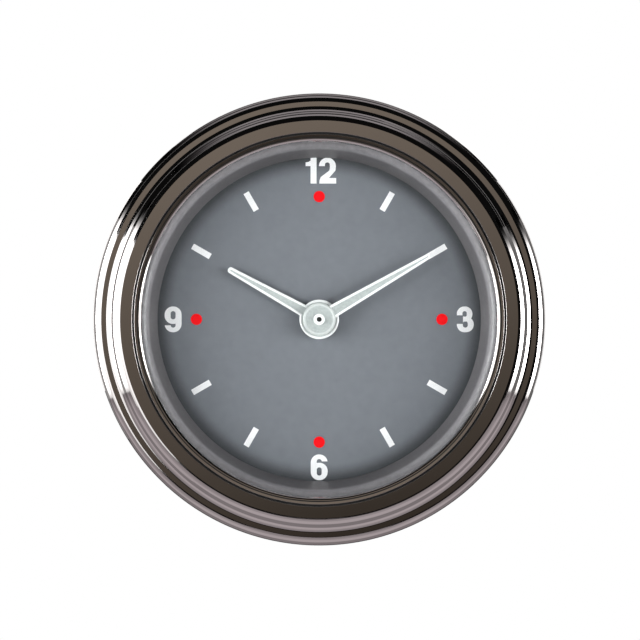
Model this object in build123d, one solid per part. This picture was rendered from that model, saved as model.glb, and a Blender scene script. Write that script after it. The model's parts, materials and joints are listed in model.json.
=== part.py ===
from build123d import *

import os
from math import atan2, cos, degrees, radians, sin, tan

# Analogue clock for a boat's instrument panel, in millimetres.
# Y is the dial's axis: the front faces -Y, +Z points to twelve o'clock and +X to three o'clock.
# y = 0 is the front face of the panel, and the origin is where the dial's axis meets it.
# A place written (x, z) lies in the dial's plane. A bearing is in degrees clockwise from +Z.

# Panel fit
bezel_radius = 30.0
barrel_radius = 26.0
case_wall = 0.7
case_rear = 28.0
panel_thickness = 3.0

# Front stack, along Y
bezel_front = -4.86
bezel_step = -3.93
lens_seat = -4.0
lens_front = -3.5
lens_back = -2.0
flange_front = -2.3
flange_back = -1.5
bezel_back = -0.8
dial_front = 1.5
dial_back = 2.0

# Front stack, radii
lip_radius = 23.5
groove_radius = 24.60
step_crest_radius = 26.97
step_foot_radius = 27.70
lens_radius = 25.2
lens_pocket_radius = 25.35
flange_radius = 28.6
trim_window_radius = 21.6
dial_radius = 24.6

# Dial markings
print_thickness = 0.05
bar_length = 2.74
bar_width = 0.80
bar_ring_radius = 18.2
dot_radius = 0.76
dot_ring_radius = 16.43
numeral_height = 3.45
numeral_width = 2.26
numeral_stem = 0.80
numeral_arm = 0.62
numeral_three_radius = 19.55
numeral_six_radius = 19.80
numeral_twelve_radius = 19.90

# Hands
minute_length = 17.1
minute_tip_width = 0.72
minute_root_width = 1.90
minute_hub_radius = 2.20
minute_bearing = 60.0
hour_length = 13.9
hour_tip_width = 0.80
hour_root_width = 1.76
hour_hub_radius = 2.63
hour_bearing = 299.0
hand_thickness = 0.30

# Movement frame, along Y
front_plate_y = (5.0, 6.0)
back_plate_y = (13.0, 14.0)
board_y = (16.0, 17.6)
pivot_clearance = 0.04
pivot_radius = 0.30
arbor_radius = 0.50

# Gearing: modules and tooth counts
motion_module = 0.25
hour_module = 0.24
train_module = 0.20
cannon_teeth = 12
motion_wheel_teeth = 36
motion_pinion_teeth = 10
hour_wheel_teeth = 40
train_pinion_teeth = 8
center_teeth = 64
third_teeth = 60
fourth_teeth = 48
intermediate_teeth = 40

# Rear fittings
stud_radius = 2.0
stud_spacing = 34.0
stud_end = 52.0
stud_hole_radius = 2.25
nut_flats = 7.0
bracket_base = 33.0
bracket_thickness = 1.2
bracket_inner_half = 27.0
bracket_half_width = 6.0
set_shaft_radius = 1.0
lamp_place = (11.0, -15.0)
terminal_places = {"power": -8.0, "ground": 0.0, "light": 8.0}
terminal_z = 16.2
rivet_z = 20.0
rivet_head_radius = 1.25


def bearing_point(radius, bearing):
    """The place (x, z) at a radius and bearing from the dial's axis."""
    return (radius * sin(radians(bearing)), radius * cos(radians(bearing)))


def step_from(place, distance, bearing):
    """The place at a distance and bearing from another place."""
    dx, dz = bearing_point(distance, bearing)
    return (place[0] + dx, place[1] + dz)


def bearing_to(place, other):
    """Bearing from one place to another."""
    return degrees(atan2(other[0] - place[0], other[1] - place[1]))


def center_distance(teeth, other_teeth, module):
    """Distance between the axes of two gears in mesh."""
    return (teeth + other_teeth) * module / 2


axis_place = (0.0, 0.0)
motion_place = (0.0, -center_distance(cannon_teeth, motion_wheel_teeth, motion_module))
set_place = (0.0, 2 * motion_place[1])
third_place = step_from(axis_place, center_distance(center_teeth, train_pinion_teeth, train_module), 30)
fourth_place = step_from(third_place, center_distance(third_teeth, train_pinion_teeth, train_module), 300)
intermediate_place = step_from(
    fourth_place, center_distance(fourth_teeth, train_pinion_teeth, train_module), 250
)
rotor_place = step_from(
    intermediate_place, center_distance(intermediate_teeth, train_pinion_teeth, train_module), 195
)
train_places = [third_place, fourth_place, intermediate_place, rotor_place]
pillar_places = [bearing_point(16.8, b) for b in (55, 155, 275)]
spacer_places = [(4.0, 13.2), (-13.0, -6.0), (13.0, -6.0)]
holder_screw_places = [bearing_point(22.6, b) for b in (20, 140, 260)]
stator_screw_places = [(-13.1, -10.5), (-4.1, -10.5)]
stud_places = [(-stud_spacing / 2, 0.0), (stud_spacing / 2, 0.0)]


def turned(section, place=axis_place):
    """Solid of revolution about Y from corners (radius, y) or (radius, y, rounding)."""
    corners = [corner[:2] for corner in section]
    roundings = [corner[2] if len(corner) > 2 else 0 for corner in section]
    outline = FilletPolyline(*corners, radius=roundings, close=True)
    return Pos(place[0], 0, place[1]) * revolve(make_face(outline), axis=Axis.Y)


def tube(inner, outer, y_from, y_to, place=axis_place):
    """Plain ring, or a disc when inner is 0."""
    return turned([(inner, y_from), (outer, y_from), (outer, y_to), (inner, y_to)], place)


def plate(sketch, y_from, y_to, place=axis_place):
    """Flat piece: a sketch drawn in (x, z), from y_from to y_to."""
    flat = extrude(Plane.XZ.offset(-y_to) * sketch, amount=y_to - y_from)
    return Pos(place[0], 0, place[1]) * flat


def group(solids):
    """Separate solids that share one node."""
    return Compound(children=list(solids))


def gear_outline(teeth, module, phase):
    """Clock gear with flat flanks, thinned for backlash, and a tooth centred at the bearing phase."""
    stations = [(-1.15, 0.215), (0.0, 0.215), (0.55, 0.155), (0.92, 0.075)]
    pitch_radius = teeth * module / 2
    pitch_angle = 360 / teeth
    points = []
    for tooth in range(teeth):
        middle = phase + tooth * pitch_angle
        for height, half in stations:
            points.append(bearing_point(pitch_radius + height * module, middle - half * pitch_angle))
        for height, half in reversed(stations):
            points.append(bearing_point(pitch_radius + height * module, middle + half * pitch_angle))
    return make_face(Polyline(*points, close=True))


def wheel(teeth, module, y_from, y_to, place, meets):
    """Gear with a tooth pointing at the gear that it meets."""
    return plate(gear_outline(teeth, module, bearing_to(place, meets)), y_from, y_to, place)


def pinion(teeth, module, y_from, y_to, place, meets):
    """Gear with a gap pointing at the gear that it meets."""
    phase = bearing_to(place, meets) + 180 / teeth
    return plate(gear_outline(teeth, module, phase), y_from, y_to, place)


def screw(shank_radius, head_radius, y_from, y_head, head_height, place):
    """Pan-head screw that points forward, with a slot in its head."""
    y_top = y_head + head_height
    slot = plate(Rectangle(2 * head_radius, 0.3 * head_radius), y_top - 0.4 * head_height, y_top, place)
    body = turned(
        [
            (0, y_from),
            (shank_radius, y_from),
            (shank_radius, y_head),
            (head_radius, y_head),
            (head_radius, y_top, 0.3 * head_height),
            (0, y_top),
        ],
        place,
    )
    return body - slot


def hexagon(flats):
    """Hexagon of a width across flats."""
    return RegularPolygon(flats / 2, 6, major_radius=False)


def knurl(radius, depth, ridges):
    """Outline of a knurled edge with flat-sided ridges."""
    points = []
    for ridge in range(ridges):
        points.append(bearing_point(radius, 360 * ridge / ridges))
        points.append(bearing_point(radius - depth, 360 * (ridge + 0.5) / ridges))
    return make_face(Polyline(*points, close=True))


# Front


def bezel():
    """Stepped ring with a fine groove and a seat for the glass, rolled over the case flange behind."""
    return turned(
        [
            (lip_radius, lens_seat),
            (lip_radius, bezel_front + 0.14, 0.42),
            (groove_radius - 0.16, bezel_front + 0.07),
            (groove_radius, bezel_front + 0.34),
            (groove_radius + 0.16, bezel_front),
            (step_crest_radius, bezel_front, 1.38),
            (step_foot_radius, bezel_step, 1.0),
            (bezel_radius, bezel_step, 1.15),
            (bezel_radius, bezel_back, 0.5),
            (26.2, bezel_back),
            (26.2, flange_back),
            (flange_radius + 0.1, flange_back),
            (flange_radius + 0.1, flange_front),
            (lens_pocket_radius, flange_front),
            (lens_pocket_radius, lens_seat),
        ]
    )


def lens():
    """Flat glass with chamfered edges."""
    edge = 0.25
    return turned(
        [
            (0, lens_front),
            (lens_radius - edge, lens_front),
            (lens_radius, lens_front + edge),
            (lens_radius, lens_back - edge),
            (lens_radius - edge, lens_back),
            (0, lens_back),
        ]
    )


def trim_ring():
    """Moulded ring with a rounded shoulder and a cone that leads down to the dial."""
    return turned(
        [
            (lens_radius, lens_back),
            (23.05, lens_back, 0.9),
            (trim_window_radius, dial_front - 0.25),
            (trim_window_radius + 0.3, dial_front),
            (lens_radius, dial_front),
        ]
    )


def dial():
    """Dial disc with a hole for the hour pipe."""
    return tube(1.8, dial_radius, dial_front, dial_back)


def loop(width, height, middle_z, stem, arm):
    """Closed band of a numeral: stem wide at its sides and arm high at its top and bottom."""
    outer = RectangleRounded(width, height, 0.49 * min(width, height))
    inner_width = width - 2 * stem
    inner_height = height - 2 * arm
    inner = RectangleRounded(inner_width, inner_height, 0.49 * min(inner_width, inner_height))
    return Pos(0, middle_z) * (outer - inner)


def block(x_from, x_to, z_from, z_to):
    """Rectangle between two corners."""
    return Pos((x_from + x_to) / 2, (z_from + z_to) / 2) * Rectangle(x_to - x_from, z_to - z_from)


def numeral_one():
    """Numeral one, with its stem's right side at half a width."""
    right = 0.5 * numeral_width
    left = right - numeral_stem
    top = numeral_height / 2
    flag = Polyline(
        (left + 0.3, top),
        (left + 0.1, top - 0.30),
        (left - 0.25, top - 0.55),
        (left - 0.66, top - 0.62),
        (left - 0.66, top - 1.12),
        (left + 0.3, top - 1.12),
        close=True,
    )
    return block(left, right, -top, top) + make_face(flag)


def numeral_two():
    """Numeral two: an open loop, a sloping stroke and a foot."""
    half = numeral_width / 2
    top = numeral_height / 2
    head_height = 2.3
    head = loop(numeral_width, head_height, top - head_height / 2, numeral_stem, numeral_arm)
    head -= block(-half, 0.1, top - head_height, top - 1.12)
    head -= block(-half, half, top - head_height, top - 1.45)
    slope = Polyline(
        (half, top - 1.45),
        (half - 0.06, top - 1.72),
        (0.22, -top + 0.74),
        (half + 0.05, -top + 0.74),
        (half + 0.05, -top),
        (-half + 0.05, -top),
        (-half + 0.08, -top + 0.42),
        (-half + 0.24, -top + 0.86),
        (half - numeral_stem - 0.08, top - 1.72),
        (half - numeral_stem, top - 1.45),
        close=True,
    )
    return head + make_face(slope)


def numeral_three():
    """Numeral three: two loops, open on the left."""
    half = numeral_width / 2
    top = numeral_height / 2
    upper_height = 2.02
    lower_height = 2.10
    upper_width = 0.92 * numeral_width
    upper = loop(upper_width, upper_height, top - upper_height / 2, 0.94 * numeral_stem, numeral_arm)
    upper = Pos(-(numeral_width - upper_width) / 2, 0) * upper
    lower = loop(numeral_width, lower_height, lower_height / 2 - top, numeral_stem, numeral_arm)
    gap = block(-half - 0.1, -half + numeral_stem + 0.02, -top + 1.12, top - 1.18)
    return upper + lower - gap


def numeral_six():
    """Numeral six: a tall loop, open on the right above a lower loop."""
    half = numeral_width / 2
    top = numeral_height / 2
    lower_height = 2.34
    tall = loop(numeral_width, numeral_height, 0, numeral_stem, numeral_arm)
    gap = block(half - numeral_stem - 0.05, half + 0.1, -top + 1.3, top - 0.93)
    lower = loop(numeral_width, lower_height, lower_height / 2 - top, numeral_stem, numeral_arm)
    return tall - gap + lower


def numerals():
    """The four numerals, each a sketch in its place on the dial."""
    pair_shift = 1.09
    return [
        Pos(-pair_shift - numeral_stem / 2, numeral_twelve_radius) * numeral_one(),
        Pos(pair_shift, numeral_twelve_radius) * numeral_two(),
        Pos(numeral_three_radius, 0) * numeral_three(),
        Pos(0, -numeral_six_radius) * numeral_six(),
        Pos(-numeral_three_radius, 0) * Rot(0, 0, 180) * numeral_six(),
    ]


def dial_print_white():
    """Hour bars and numerals, as a raised film on the dial."""
    shapes = []
    for hour in (1, 2, 4, 5, 7, 8, 10, 11):
        x, z = bearing_point(bar_ring_radius, 30 * hour)
        shapes.append(Pos(x, z) * Rot(0, 0, -30 * hour) * Rectangle(bar_width, bar_length))
    shapes += numerals()
    return group(plate(shape, dial_front - print_thickness, dial_front) for shape in shapes)


def dial_print_red():
    """Quarter-hour dots, as a raised film on the dial."""
    places = [bearing_point(dot_ring_radius, 90 * quarter) for quarter in range(4)]
    return group(tube(0, dot_radius, dial_front - print_thickness, dial_front, p) for p in places)


def hand(length, root_width, tip_width, tip_rounding, hub_radius, bearing):
    """Sketch of a tapered blade on a hub disc, pointing at a bearing."""
    blade = FilletPolyline(
        (-root_width / 2, 0),
        (-tip_width / 2, length),
        (tip_width / 2, length),
        (root_width / 2, 0),
        radius=[0, tip_rounding, tip_rounding, 0],
        close=True,
    )
    return Rot(0, 0, -bearing) * (make_face(blade) + Circle(hub_radius))


def hour_hand():
    """Hour hand, on the hour pipe."""
    outline = hand(hour_length, hour_root_width, hour_tip_width, 0.38, hour_hub_radius, hour_bearing)
    hub = tube(1.5, 2.0, 0.65, 0.95)
    return plate(outline, 0.35, 0.35 + hand_thickness) - tube(0, 1.5, 0.3, 0.7) + hub


def minute_hand():
    """Minute hand, on the tip of the minute arbor."""
    outline = hand(
        minute_length, minute_root_width, minute_tip_width, 0.12, minute_hub_radius, minute_bearing
    )
    hub = tube(0.73, 1.3, -0.45, -0.3)
    return plate(outline, -0.75, -0.75 + hand_thickness) - tube(0, 0.73, -0.8, -0.4) + hub


# Motion work


def minute_arbor():
    """Arbor of the minute hand, with the cannon pinion and the seats of the slipping clutch."""
    body = turned(
        [
            (0, 0.5),
            (0.32, 0.5),
            (0.32, -1.2),
            (0.73, -1.2, 0.12),
            (0.73, -0.3),
            (1.0, -0.3),
            (1.0, 4.8),
            (0.73, 4.8),
            (0.73, 6.3),
            (1.3, 6.3),
            (1.3, 6.7),
            (0.73, 6.7),
            (0.73, 7.76),
            (1.3, 7.76),
            (1.3, 8.1),
            (0.73, 8.1),
            (0.73, 12.9),
            (0.4, 12.9),
            (0.4, 13.9),
            (0, 13.9),
        ]
    )
    return body + pinion(cannon_teeth, motion_module, 3.9, 4.7, axis_place, motion_place)


def hour_wheel():
    """Hour wheel, with the pipe that carries the hour hand."""
    pipe_bore = 1.04
    body = wheel(hour_wheel_teeth, hour_module, 2.6, 3.2, axis_place, motion_place)
    return body + tube(0, 1.5, 0.35, 3.2) - tube(0, pipe_bore, 0, 4)


def motion_wheel():
    """Motion wheel, driven by the cannon pinion, with the pinion that drives the hour wheel."""
    body = wheel(motion_wheel_teeth, motion_module, 4.0, 4.6, motion_place, axis_place)
    body += tube(0, 0.8, 3.3, 4.1, motion_place)
    body += pinion(motion_pinion_teeth, hour_module, 2.4, 3.4, motion_place, axis_place)
    return body - tube(0, 0.4 + pivot_clearance, 2, 5, motion_place)


# Going train


def center_wheel():
    """Center wheel, which turns the minute arbor through the clutch."""
    body = wheel(center_teeth, train_module, 7.0, 7.5, axis_place, third_place)
    return body + tube(0, 1.6, 6.75, 7.1) - tube(0, 0.73 + pivot_clearance, 6, 8)


def clutch_spring():
    """Three-armed flat spring between the center wheel and the arbor's collar."""
    arm = Pos(0, 1.9) * Rectangle(0.7, 2.6)
    star = Circle(1.35)
    for bearing in (0, 120, 240):
        star += Rot(0, 0, -bearing) * arm
    return plate(star - Circle(0.73 + pivot_clearance), 7.5, 7.7)


def train_arbor(place):
    """Arbor with a pivot at each end."""
    return turned(
        [
            (0, front_plate_y[0] + 0.1),
            (pivot_radius, front_plate_y[0] + 0.1),
            (pivot_radius, front_plate_y[1] + 0.1),
            (arbor_radius, front_plate_y[1] + 0.1),
            (arbor_radius, back_plate_y[0] - 0.1),
            (pivot_radius, back_plate_y[0] - 0.1),
            (pivot_radius, back_plate_y[1] - 0.1),
            (0, back_plate_y[1] - 0.1),
        ],
        place,
    )


def third_wheel():
    """Third wheel and its pinion."""
    body = train_arbor(third_place)
    body += pinion(train_pinion_teeth, train_module, 6.6, 8.0, third_place, axis_place)
    return body + wheel(third_teeth, train_module, 8.4, 8.9, third_place, fourth_place)


def fourth_wheel():
    """Fourth wheel and its pinion."""
    body = train_arbor(fourth_place)
    body += pinion(train_pinion_teeth, train_module, 8.1, 9.2, fourth_place, third_place)
    return body + wheel(fourth_teeth, train_module, 9.6, 10.1, fourth_place, intermediate_place)


def intermediate_wheel():
    """Intermediate wheel and its pinion."""
    place = intermediate_place
    body = train_arbor(place)
    body += pinion(train_pinion_teeth, train_module, 9.3, 10.4, place, fourth_place)
    return body + wheel(intermediate_teeth, train_module, 10.8, 11.3, place, rotor_place)


def rotor():
    """Rotor arbor of the stepping motor, with its pinion."""
    body = train_arbor(rotor_place)
    return body + pinion(train_pinion_teeth, train_module, 10.5, 11.6, rotor_place, intermediate_place)


def rotor_magnet():
    """Ring magnet on the rotor arbor."""
    return tube(arbor_radius, 2.0, 8.0, 9.8, rotor_place)


def stator():
    """Flat iron yoke around the rotor, with two legs that reach the coil."""
    yoke = block(-14.0, -3.2, -11.9, 6.0) - block(-12.2, -5.0, -12.0, 0.2)
    yoke -= Pos(*rotor_place) * Circle(2.35)
    for place in stator_screw_places:
        yoke -= Pos(*place) * Circle(0.65)
    return plate(yoke, 8.3, 9.3)


def coil_core():
    """Iron core that joins the stator's legs, narrow where the coil is wound."""
    core = block(-14.0, -3.2, -11.8, -9.2)
    core -= block(-11.9, -5.3, -12.0, -11.1)
    core -= block(-11.9, -5.3, -9.9, -9.0)
    for place in stator_screw_places:
        core -= Pos(*place) * Circle(0.65)
    return plate(core, 9.3, 10.3)


def coil_winding():
    """Copper winding on the core, about an axis along X."""
    middle = Pos(-8.6, 9.8, -10.5)
    winding = middle * Rot(0, 90, 0) * Cylinder(2.6, 6.2)
    return winding - middle * Box(7, 1.0, 1.2)


# Movement frame


def front_plate():
    """Front plate, with bearings, the motion wheel's post and the stator's posts."""
    y_from, y_to = front_plate_y
    body = tube(0, 24.0, y_from, y_to)
    body += tube(0, 0.4, 2.2, y_from, motion_place)
    body += tube(0, 0.9, 4.65, y_from, motion_place)
    for place in stator_screw_places:
        body += tube(0, 1.2, y_to, 8.3, place)
        body -= tube(0, 0.55, y_from, 8.3, place)
    for place in pillar_places:
        body -= tube(0, 0.9, y_from, y_to, place)
    for place in holder_screw_places:
        body -= tube(0, 0.9, y_from, y_to, place)
    for place in train_places:
        body -= tube(0, pivot_radius + pivot_clearance, y_from, y_to, place)
    body -= tube(0, set_shaft_radius + pivot_clearance, y_from, y_to, set_place)
    return body - tube(0, 0.73 + pivot_clearance, y_from, y_to)


def back_plate():
    """Back plate, with the rear bearings."""
    y_from, y_to = back_plate_y
    body = tube(0, 18.5, y_from, y_to)
    for place in pillar_places + spacer_places:
        body -= tube(0, 0.9, y_from, y_to, place)
    for place in train_places:
        body -= tube(0, pivot_radius + pivot_clearance, y_from, y_to, place)
    body -= tube(0, set_shaft_radius + pivot_clearance, y_from, y_to, set_place)
    return body - tube(0, 0.4 + pivot_clearance, y_from, y_to)


def movement_pillars():
    """Three pillars between the plates."""
    return group(tube(0.9, 1.5, front_plate_y[1], back_plate_y[0], p) for p in pillar_places)


def pillar_screws():
    """Long screws through the back plate and the pillars into the front plate."""
    return group(screw(0.85, 1.6, front_plate_y[0], back_plate_y[1], 0.9, p) for p in pillar_places)


def stator_screws():
    """Screws that hold the core and the stator to their posts."""
    return group(screw(0.5, 1.1, 6.5, 10.3, 0.8, p) for p in stator_screw_places)


def movement_holder():
    """Ring behind the dial that carries the movement, pressed into the case."""
    body = tube(21.0, barrel_radius - case_wall - 0.02, dial_back, front_plate_y[0])
    for place in holder_screw_places:
        body -= tube(0, 0.85, 2.6, front_plate_y[0], place)
    return body


def holder_screws():
    """Screws from the front plate into the holder."""
    return group(screw(0.8, 1.5, 2.8, front_plate_y[1], 0.8, p) for p in holder_screw_places)


# Electronics


def circuit_board():
    """D-shaped circuit board behind the back plate."""
    outline = Circle(20.0) - block(-21, 21, -21, -9.5)
    for place in spacer_places:
        outline -= Pos(*place) * Circle(0.9)
    for x in terminal_places.values():
        outline -= Pos(x, terminal_z) * Rectangle(0.9, 1.3)
    return plate(outline, *board_y)


def board_spacers():
    """Spacers between the back plate and the board."""
    return group(tube(0.9, 2.0, back_plate_y[1], board_y[0], p) for p in spacer_places)


def board_screws():
    """Screws through the board and spacers into the back plate."""
    return group(screw(0.85, 1.7, back_plate_y[0], board_y[1], 0.9, p) for p in spacer_places)


def quartz_crystal():
    """Crystal can lying on the board."""
    can = Pos(-6.0, board_y[1] + 1.15, 4.0) * Rot(0, 90, 0) * Cylinder(1.0, 6.0)
    base = Pos(-9.2, board_y[1] + 1.15, 4.0) * Rot(0, 90, 0) * Cylinder(1.15, 0.5)
    return can + base


def driver_chip():
    """Driver chip with four leads on each long side."""
    middle_z = -2.0
    body = Pos(0, board_y[1] + 0.95, middle_z) * Box(5.0, 1.5, 4.0)
    for side in (-1, 1):
        for lead in range(4):
            x = (lead - 1.5) * 1.2
            shoulder = Pos(x, board_y[1] + 0.8, middle_z + side * 2.3) * Box(0.4, 0.2, 0.8)
            foot = Pos(x, board_y[1] + 0.45, middle_z + side * 2.6) * Box(0.4, 0.9, 0.2)
            body += shoulder + foot
    return body


def capacitors():
    """Two can capacitors standing on the board."""
    places = [(7.0, 4.0), (12.5, 4.0)]
    top = board_y[1] + 6.0
    section = [(0, board_y[1]), (2.5, board_y[1], 0.3), (2.5, top, 0.3), (0, top)]
    return group(turned(section, place) for place in places)


# Case and rear fittings


def case():
    """Drawn steel can with a front flange, pierced at the rear for its fittings."""
    inner = barrel_radius - case_wall
    body = turned(
        [
            (inner, flange_front),
            (flange_radius, flange_front),
            (flange_radius, flange_back),
            (barrel_radius - 0.15, flange_back),
            (barrel_radius - 0.15, 0),
            (barrel_radius, 0),
            (barrel_radius, case_rear, 1.3),
            (0, case_rear),
            (0, case_rear - case_wall),
            (inner, case_rear - case_wall, 0.6),
        ]
    )
    wall = (case_rear - case_wall, case_rear)
    for place in stud_places:
        body -= tube(0, 2.2, *wall, place)
    body -= tube(0, 2.6, *wall, set_place)
    keyhole = Circle(5.2) + Rot(0, 0, -45) * Rectangle(12.8, 2.6)
    body -= plate(keyhole, *wall, lamp_place)
    body -= plate(Pos(0, terminal_z) * Rectangle(22, 5), *wall)
    for x in (-4.0, 4.0):
        body -= tube(0, 0.9, *wall, (x, rivet_z))
    return body


def lens_gasket():
    """Rubber ring between the bezel's lip and the glass."""
    return tube(23.7, lens_radius, lens_seat, lens_front)


def panel_gasket():
    """Rubber ring between the bezel and the panel."""
    return tube(26.1, 29.2, bezel_back, 0)


def mounting_studs():
    """Two studs, each with a hexagonal head inside the case."""
    head_y = case_rear - case_wall - 1.2
    studs = []
    for place in stud_places:
        shank = turned([(0, head_y), (stud_radius, head_y), (stud_radius, stud_end, 0.4), (0, stud_end)], place)
        studs.append(shank + plate(hexagon(nut_flats), head_y, head_y + 1.2, place))
    return group(studs)


def stud_nuts():
    """Nuts that fix the studs to the rear wall."""
    flat = hexagon(nut_flats) - Circle(stud_radius + 0.02)
    return group(plate(flat, case_rear, case_rear + 2.4, place) for place in stud_places)


def clamp_bracket():
    """U-shaped bracket whose feet press on the back of the panel."""
    inner = bracket_inner_half
    outer = inner + bracket_thickness
    back = bracket_base + bracket_thickness
    foot = panel_thickness
    outside = FilletPolyline(
        (-outer, foot), (-outer, back), (outer, back), (outer, foot), radius=[0, 2.4, 2.4, 0], close=True
    )
    inside = FilletPolyline(
        (-inner, foot),
        (-inner, bracket_base),
        (inner, bracket_base),
        (inner, foot),
        radius=[0, 1.2, 1.2, 0],
        close=True,
    )
    strap = make_face(outside) - make_face(inside)
    body = extrude(strap, amount=bracket_half_width, both=True)
    for place in stud_places:
        body -= tube(0, stud_hole_radius, bracket_base, back, place)
    for z in (-3.0, 0.0, 3.0):
        body -= Pos(0, foot, z) * Box(2 * outer, 1.6, 1.4)
    return body


def lock_washers():
    """Spring washers under the thumb nuts."""
    y_from = bracket_base + bracket_thickness
    flat = Circle(3.9) - Circle(stud_hole_radius) - Pos(0, 3) * Rectangle(0.5, 3)
    return group(plate(flat, y_from, y_from + 0.9, place) for place in stud_places)


def thumb_nut(place):
    """Knurled nut on a mounting stud."""
    y_from = bracket_base + bracket_thickness + 0.9
    body = plate(knurl(5.4, 0.3, 28), y_from + 1.0, y_from + 5.0, place)
    body += tube(0, 3.9, y_from, y_from + 1.0, place)
    return body - tube(0, stud_radius + pivot_clearance, y_from, y_from + 5.0, place)


def set_shaft():
    """Setting shaft, from its pinion behind the dial to the knob at the rear."""
    body = turned(
        [
            (0, 3.4),
            (set_shaft_radius, 3.4, 0.2),
            (set_shaft_radius, 14.1),
            (1.6, 14.1),
            (1.6, 15.0),
            (set_shaft_radius, 15.0),
            (set_shaft_radius, 36.0),
            (0, 36.0),
        ],
        set_place,
    )
    return body + pinion(cannon_teeth, motion_module, 3.9, 4.7, set_place, motion_place)


def set_knob():
    """Knurled knob on the setting shaft."""
    body = plate(knurl(4.0, 0.25, 24), 31.0, 37.0, set_place)
    body += tube(0, 2.4, 30.0, 31.0, set_place)
    return body - tube(0, set_shaft_radius, 30.0, 36.0, set_place)


def shaft_grommet():
    """Rubber grommet around the setting shaft."""
    inside = case_rear - case_wall
    bore = set_shaft_radius + 0.06
    return turned(
        [
            (bore, inside - 0.8),
            (3.4, inside - 0.8, 0.3),
            (3.4, inside),
            (2.6, inside),
            (2.6, case_rear),
            (3.4, case_rear),
            (3.4, case_rear + 0.9, 0.3),
            (bore, case_rear + 0.9),
        ],
        set_place,
    )


def terminal_block():
    """Moulded insulator around the blade terminals, plugged into the case's window."""
    body = plate(Pos(0, terminal_z + 0.6) * RectangleRounded(25, 9.6, 1.2), case_rear, case_rear + 2.6)
    body += plate(Pos(0, terminal_z) * Rectangle(21.8, 4.8), case_rear - case_wall - 0.6, case_rear)
    for x in terminal_places.values():
        body -= plate(Pos(x, terminal_z) * Rectangle(0.8, 1.2), 26, 29)
        body -= plate(Pos(x, terminal_z) * Rectangle(0.8, 6.3), 28.8, 32)
    for x in (-4.0, 4.0):
        body -= tube(0, 0.9, case_rear, case_rear + 2.6, (x, rivet_z))
    return body


def block_rivets():
    """Rivets that hold the terminal block."""
    inside = case_rear - case_wall
    outside = case_rear + 2.6
    section = [
        (0, inside - 0.5),
        (rivet_head_radius, inside - 0.5),
        (rivet_head_radius, inside),
        (0.88, inside),
        (0.88, outside),
        (rivet_head_radius, outside),
        (rivet_head_radius, outside + 0.6, 0.4),
        (0, outside + 0.6),
    ]
    return group(turned(section, (x, rivet_z)) for x in (-4.0, 4.0))


def blade_terminal(x):
    """Blade terminal with a tail soldered in the board."""
    blade = Pos(0, 35.0, 0) * Box(0.8, 12.4, 6.3)
    blade = chamfer(blade.faces().sort_by(Axis.Y)[-1].edges().filter_by(Axis.X), 1.0)
    blade -= Rot(0, 90, 0) * Pos(0, 0, 0) * Pos(0, 38.4, 0) * Cylinder(0.9, 4)
    tail = Pos(0, (board_y[0] + 29.0) / 2, 0) * Box(0.8, 29.0 - board_y[0], 1.2)
    return Pos(x, 0, terminal_z) * (blade + tail)


def lamp_socket():
    """Bayonet lamp holder, locked behind the rear wall by two lugs."""
    inside = case_rear - case_wall
    body = turned(
        [
            (2.2, 23.0),
            (4.9, 23.0, 0.4),
            (4.9, case_rear),
            (6.4, case_rear),
            (6.4, case_rear + 1.6, 0.5),
            (0, case_rear + 1.6),
            (0, 26.0),
            (2.2, 26.0),
        ],
        lamp_place,
    )
    lugs = Rectangle(12.2, 2.0) & Circle(6.1)
    body += plate(lugs - Circle(4.0), inside - 1.1, inside - 0.02, lamp_place)
    grip = Rectangle(9.5, 2.2)
    return body + plate(grip, case_rear + 1.6, case_rear + 4.6, lamp_place)


def lamp_bulb():
    """Small wedge-base bulb in its holder."""
    return turned(
        [
            (0, 17.2),
            (1.2, 17.2, 0.6),
            (2.45, 18.6, 1.2),
            (2.45, 22.4, 0.4),
            (2.15, 22.9),
            (2.15, 26.0),
            (0, 26.0),
        ],
        lamp_place,
    )


parts = {
    "bezel": bezel(),
    "lens": lens(),
    "lens_gasket": lens_gasket(),
    "trim_ring": trim_ring(),
    "panel_gasket": panel_gasket(),
    "case": case(),
    "dial": dial(),
    "dial_print_white": dial_print_white(),
    "dial_print_red": dial_print_red(),
    "hour_hand": hour_hand(),
    "minute_hand": minute_hand(),
    "minute_arbor": minute_arbor(),
    "hour_wheel": hour_wheel(),
    "motion_wheel": motion_wheel(),
    "center_wheel": center_wheel(),
    "clutch_spring": clutch_spring(),
    "third_wheel": third_wheel(),
    "fourth_wheel": fourth_wheel(),
    "intermediate_wheel": intermediate_wheel(),
    "rotor": rotor(),
    "rotor_magnet": rotor_magnet(),
    "stator": stator(),
    "coil_core": coil_core(),
    "coil_winding": coil_winding(),
    "stator_screws": stator_screws(),
    "movement_holder": movement_holder(),
    "front_plate": front_plate(),
    "back_plate": back_plate(),
    "movement_pillars": movement_pillars(),
    "pillar_screws": pillar_screws(),
    "holder_screws": holder_screws(),
    "circuit_board": circuit_board(),
    "board_spacers": board_spacers(),
    "board_screws": board_screws(),
    "quartz_crystal": quartz_crystal(),
    "driver_chip": driver_chip(),
    "capacitors": capacitors(),
    "set_shaft": set_shaft(),
    "set_knob": set_knob(),
    "shaft_grommet": shaft_grommet(),
    "mounting_studs": mounting_studs(),
    "stud_nuts": stud_nuts(),
    "clamp_bracket": clamp_bracket(),
    "lock_washers": lock_washers(),
    "thumb_nut_left": thumb_nut(stud_places[0]),
    "thumb_nut_right": thumb_nut(stud_places[1]),
    "terminal_block": terminal_block(),
    "block_rivets": block_rivets(),
    "lamp_socket": lamp_socket(),
    "lamp_bulb": lamp_bulb(),
}
for name, x in terminal_places.items():
    parts[f"{name}_terminal"] = blade_terminal(x)

os.makedirs("parts", exist_ok=True)
for name, shape in parts.items():
    export_step(shape, f"parts/{name}.step")
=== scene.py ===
import json
from cmath import exp, phase
from math import ceil, cos, pi, radians, sin, sqrt, tan

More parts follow.
